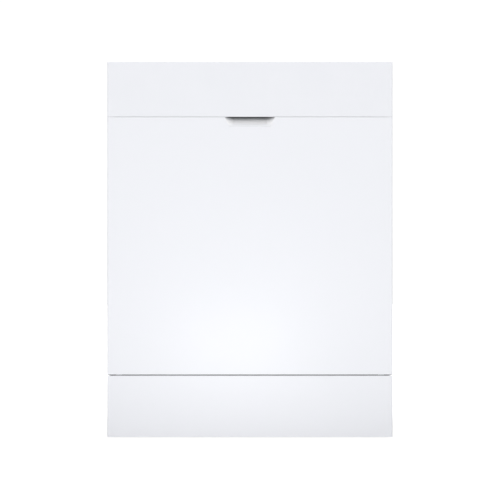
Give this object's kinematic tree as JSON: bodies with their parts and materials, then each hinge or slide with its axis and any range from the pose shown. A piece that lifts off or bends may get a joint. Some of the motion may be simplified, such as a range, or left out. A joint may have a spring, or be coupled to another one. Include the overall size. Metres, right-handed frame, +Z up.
{
  "type": "built in dishwasher",
  "caption": "White under-counter dishwasher with a plain fascia, recessed finger grip, drop-down door, kick plate, steel tub, sliding wire racks and turning spray arms.",
  "frame": {"origin": "floor level, at the middle of the machine's width and depth", "axes": "+Z up, the door faces -Y, +X is to the right of someone facing the door"},
  "size_m": [0.598, 0.57, 0.7887],
  "materials": {
    "white_paint": "smooth satin enamel",
    "white_plastic": "fine satin",
    "zinc_sheet": "hot-dip zinc coated",
    "stainless": "brushed",
    "bare_steel": "bright",
    "black_plastic": "grained",
    "grey_plastic": "satin",
    "pale_plastic": "satin",
    "seal_rubber": "matte",
    "bitumen": "rough",
    "coated_wire": "nylon coated",
    "dark_window": "gloss"
  },
  "bodies": {
    "cabinet": {"base_pan": "black_plastic", "side_frame_left": "zinc_sheet", "side_frame_right": "zinc_sheet", "top_crossbars": "zinc_sheet", "back_panel": "zinc_sheet", "frame_screws": "bare_steel", "tub": "stainless", "door_gasket": "seal_rubber", "lower_seal": "seal_rubber", "damping_mats": "bitumen", "heat_exchanger": "pale_plastic", "strike_plate": "bare_steel", "kick_plate": "white_paint", "hinge_brackets": "zinc_sheet", "door_springs": "bare_steel", "sump": "black_plastic", "filter_plate": "stainless", "circulation_pump": "grey_plastic", "drain_pump": "black_plastic", "salt_container": "pale_plastic", "inlet_valve": "pale_plastic", "power_module": "black_plastic", "feed_pipe": "grey_plastic", "top_shower": "grey_plastic"},
    "door": {"door_panel": "white_paint", "fascia": "white_plastic", "handle_pocket": "white_plastic", "door_liner": "stainless", "hinge_arms": "zinc_sheet", "dispenser": "grey_plastic", "door_latch": "black_plastic", "control_module": "black_plastic", "display_window": "dark_window"},
    "upper_rack": {"upper_basket": "coated_wire", "rack_rails": "zinc_sheet", "rack_duct": "grey_plastic"},
    "lower_rack": {"lower_basket": "coated_wire", "cutlery_basket": "grey_plastic"},
    "rope_pulleys": {"rope_pulleys": "black_plastic"},
    "filter_cup": {"filter_cup": "grey_plastic"},
    "salt_cap": {"salt_cap": "pale_plastic"},
    "lower_spray_arm": {"lower_spray_arm": "grey_plastic"},
    "foot_front_left": {"foot_front_left": "black_plastic"},
    "foot_front_right": {"foot_front_right": "black_plastic"},
    "foot_rear_left": {"foot_rear_left": "black_plastic"},
    "foot_rear_right": {"foot_rear_right": "black_plastic"},
    "rollers_front": {"rollers_front": "pale_plastic"},
    "rollers_rear": {"rollers_rear": "pale_plastic"},
    "detergent_lid": {"detergent_lid": "pale_plastic"},
    "rinse_cap": {"rinse_cap": "pale_plastic"},
    "power_button": {"power_button": "pale_plastic"},
    "program_button": {"program_button": "pale_plastic"},
    "option_button": {"option_button": "pale_plastic"},
    "start_button": {"start_button": "pale_plastic"},
    "upper_spray_arm": {"upper_spray_arm": "grey_plastic"},
    "cup_shelf_left": {"cup_shelf_left": "coated_wire"},
    "cup_shelf_right": {"cup_shelf_right": "coated_wire"},
    "wheels_front": {"wheels_front": "pale_plastic"},
    "wheels_rear": {"wheels_rear": "pale_plastic"},
    "fold_tines": {"fold_tines": "coated_wire"}
  },
  "joints": [
    {"name": "door_hinge", "type": "hinge", "parent": "cabinet", "child": "door", "pos_m": [0, -0.256, 0.163], "axis": [1, 0, 0], "range_deg": [0, 90], "stiffness_Nm_per_rad": 13, "deforming": ["door_springs"]},
    {"name": "upper_rack_slide", "type": "slide", "parent": "cabinet", "child": "upper_rack", "axis": [0, -1, 0], "range_m": [0, 0.42]},
    {"name": "lower_rack_slide", "type": "slide", "parent": "cabinet", "child": "lower_rack", "axis": [0, -1, 0], "range_m": [0, 0.141]},
    {"name": "lower_arm_spin", "type": "hinge", "parent": "cabinet", "child": "lower_spray_arm", "pos_m": [0, 0.019, 0.189], "axis": [0, 0, 1], "continuous": true},
    {"name": "upper_arm_spin", "type": "hinge", "parent": "upper_rack", "child": "upper_spray_arm", "pos_m": [0, 0.019, 0.445], "axis": [0, 0, 1], "continuous": true},
    {"name": "wheels_front_spin", "type": "hinge", "parent": "lower_rack", "child": "wheels_front", "pos_m": [0, -0.086, 0.1993], "axis": [1, 0, 0], "continuous": true},
    {"name": "wheels_rear_spin", "type": "hinge", "parent": "lower_rack", "child": "wheels_rear", "pos_m": [0, 0.15, 0.1993], "axis": [1, 0, 0], "continuous": true},
    {"name": "rollers_front_spin", "type": "hinge", "parent": "cabinet", "child": "rollers_front", "pos_m": [0, -0.212, 0.52], "axis": [1, 0, 0], "continuous": true},
    {"name": "rollers_rear_spin", "type": "hinge", "parent": "cabinet", "child": "rollers_rear", "pos_m": [0, -0.186, 0.52], "axis": [1, 0, 0], "continuous": true},
    {"name": "pulley_spin", "type": "hinge", "parent": "cabinet", "child": "rope_pulleys", "pos_m": [0, -0.196, 0.178], "axis": [1, 0, 0], "continuous": true},
    {"name": "filter_twist", "type": "hinge", "parent": "cabinet", "child": "filter_cup", "pos_m": [0.062, 0.049, 0.158], "axis": [0, 0, 1], "range_deg": [0, 90]},
    {"name": "salt_cap_turn", "type": "hinge", "parent": "cabinet", "child": "salt_cap", "pos_m": [-0.16, 0.15, 0.165], "axis": [0, 0, 1], "continuous": true},
    {"name": "foot_front_left_screw", "type": "slide", "parent": "cabinet", "child": "foot_front_left", "axis": [0, 0, -1], "range_m": [0, 0.03]},
    {"name": "foot_front_right_screw", "type": "slide", "parent": "cabinet", "child": "foot_front_right", "axis": [0, 0, -1], "range_m": [0, 0.03]},
    {"name": "foot_rear_left_screw", "type": "slide", "parent": "cabinet", "child": "foot_rear_left", "axis": [0, 0, -1], "range_m": [0, 0.03]},
    {"name": "foot_rear_right_screw", "type": "slide", "parent": "cabinet", "child": "foot_rear_right", "axis": [0, 0, -1], "range_m": [0, 0.03]},
    {"name": "detergent_lid_slide", "type": "slide", "parent": "door", "child": "detergent_lid", "axis": [0, 0, 1], "range_m": [0, 0.05]},
    {"name": "rinse_cap_turn", "type": "hinge", "parent": "door", "child": "rinse_cap", "pos_m": [0.036, -0.231, 0.545], "axis": [0, 1, 0], "range_deg": [0, 90]},
    {"name": "power_press", "type": "slide", "parent": "door", "child": "power_button", "axis": [0, 0, -1], "range_m": [0, 0.0012], "stiffness_N_per_m": 300, "springref_m": -0.0004},
    {"name": "program_press", "type": "slide", "parent": "door", "child": "program_button", "axis": [0, 0, -1], "range_m": [0, 0.0012], "stiffness_N_per_m": 300, "springref_m": -0.0004},
    {"name": "option_press", "type": "slide", "parent": "door", "child": "option_button", "axis": [0, 0, -1], "range_m": [0, 0.0012], "stiffness_N_per_m": 300, "springref_m": -0.0004},
    {"name": "start_press", "type": "slide", "parent": "door", "child": "start_button", "axis": [0, 0, -1], "range_m": [0, 0.0012], "stiffness_N_per_m": 300, "springref_m": -0.0004},
    {"name": "cup_shelf_left_fold", "type": "hinge", "parent": "upper_rack", "child": "cup_shelf_left", "pos_m": [-0.228, 0, 0.564], "axis": [0, 1, 0], "range_deg": [0, 88]},
    {"name": "cup_shelf_right_fold", "type": "hinge", "parent": "upper_rack", "child": "cup_shelf_right", "pos_m": [0.228, 0, 0.564], "axis": [0, -1, 0], "range_deg": [0, 88]},
    {"name": "tines_fold", "type": "hinge", "parent": "lower_rack", "child": "fold_tines", "pos_m": [-0.096, -0.06, 0.222], "axis": [1, 0, 0], "range_deg": [0, 85]}
  ],
  "couplings": [
    {"joint": "upper_rack_slide", "follows": "door_hinge", "m_per_rad": 0.2673},
    {"joint": "lower_rack_slide", "follows": "door_hinge", "m_per_rad": 0.0895},
    {"joint": "wheels_front_spin", "follows": "door_hinge", "ratio": 7.4583},
    {"joint": "wheels_rear_spin", "follows": "door_hinge", "ratio": 7.4583},
    {"joint": "rollers_front_spin", "follows": "door_hinge", "ratio": 26.73},
    {"joint": "rollers_rear_spin", "follows": "door_hinge", "ratio": 26.73},
    {"joint": "pulley_spin", "follows": "door_hinge", "ratio": 2}
  ]
}
